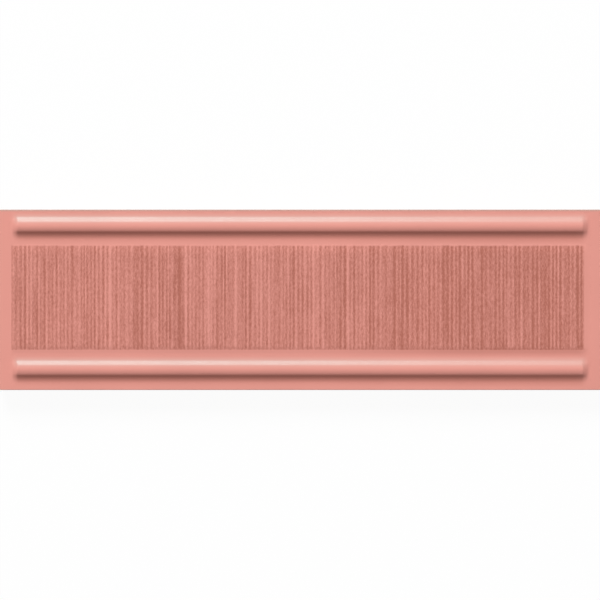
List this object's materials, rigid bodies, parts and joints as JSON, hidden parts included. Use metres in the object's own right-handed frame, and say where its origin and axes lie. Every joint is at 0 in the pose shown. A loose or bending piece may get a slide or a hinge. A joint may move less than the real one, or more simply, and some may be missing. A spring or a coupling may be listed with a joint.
{
  "type": "border tile",
  "caption": "Long narrow glazed ceramic border tile with a finely ribbed field between raised rounded beads along both long edges, laid as a trim course in a tiled wall.",
  "frame": {"origin": "middle of the tile's back, on the plane it is bedded on", "axes": "+X along the tile, +Y towards the long edge with the narrow plain margin, +Z out of the glazed face"},
  "size_m": [0.2, 0.06, 0.0083],
  "materials": {
    "pink_glazed_ceramic": "glossy"
  },
  "bodies": {
    "root": {"border_tile": "pink_glazed_ceramic"}
  },
  "joints": []
}
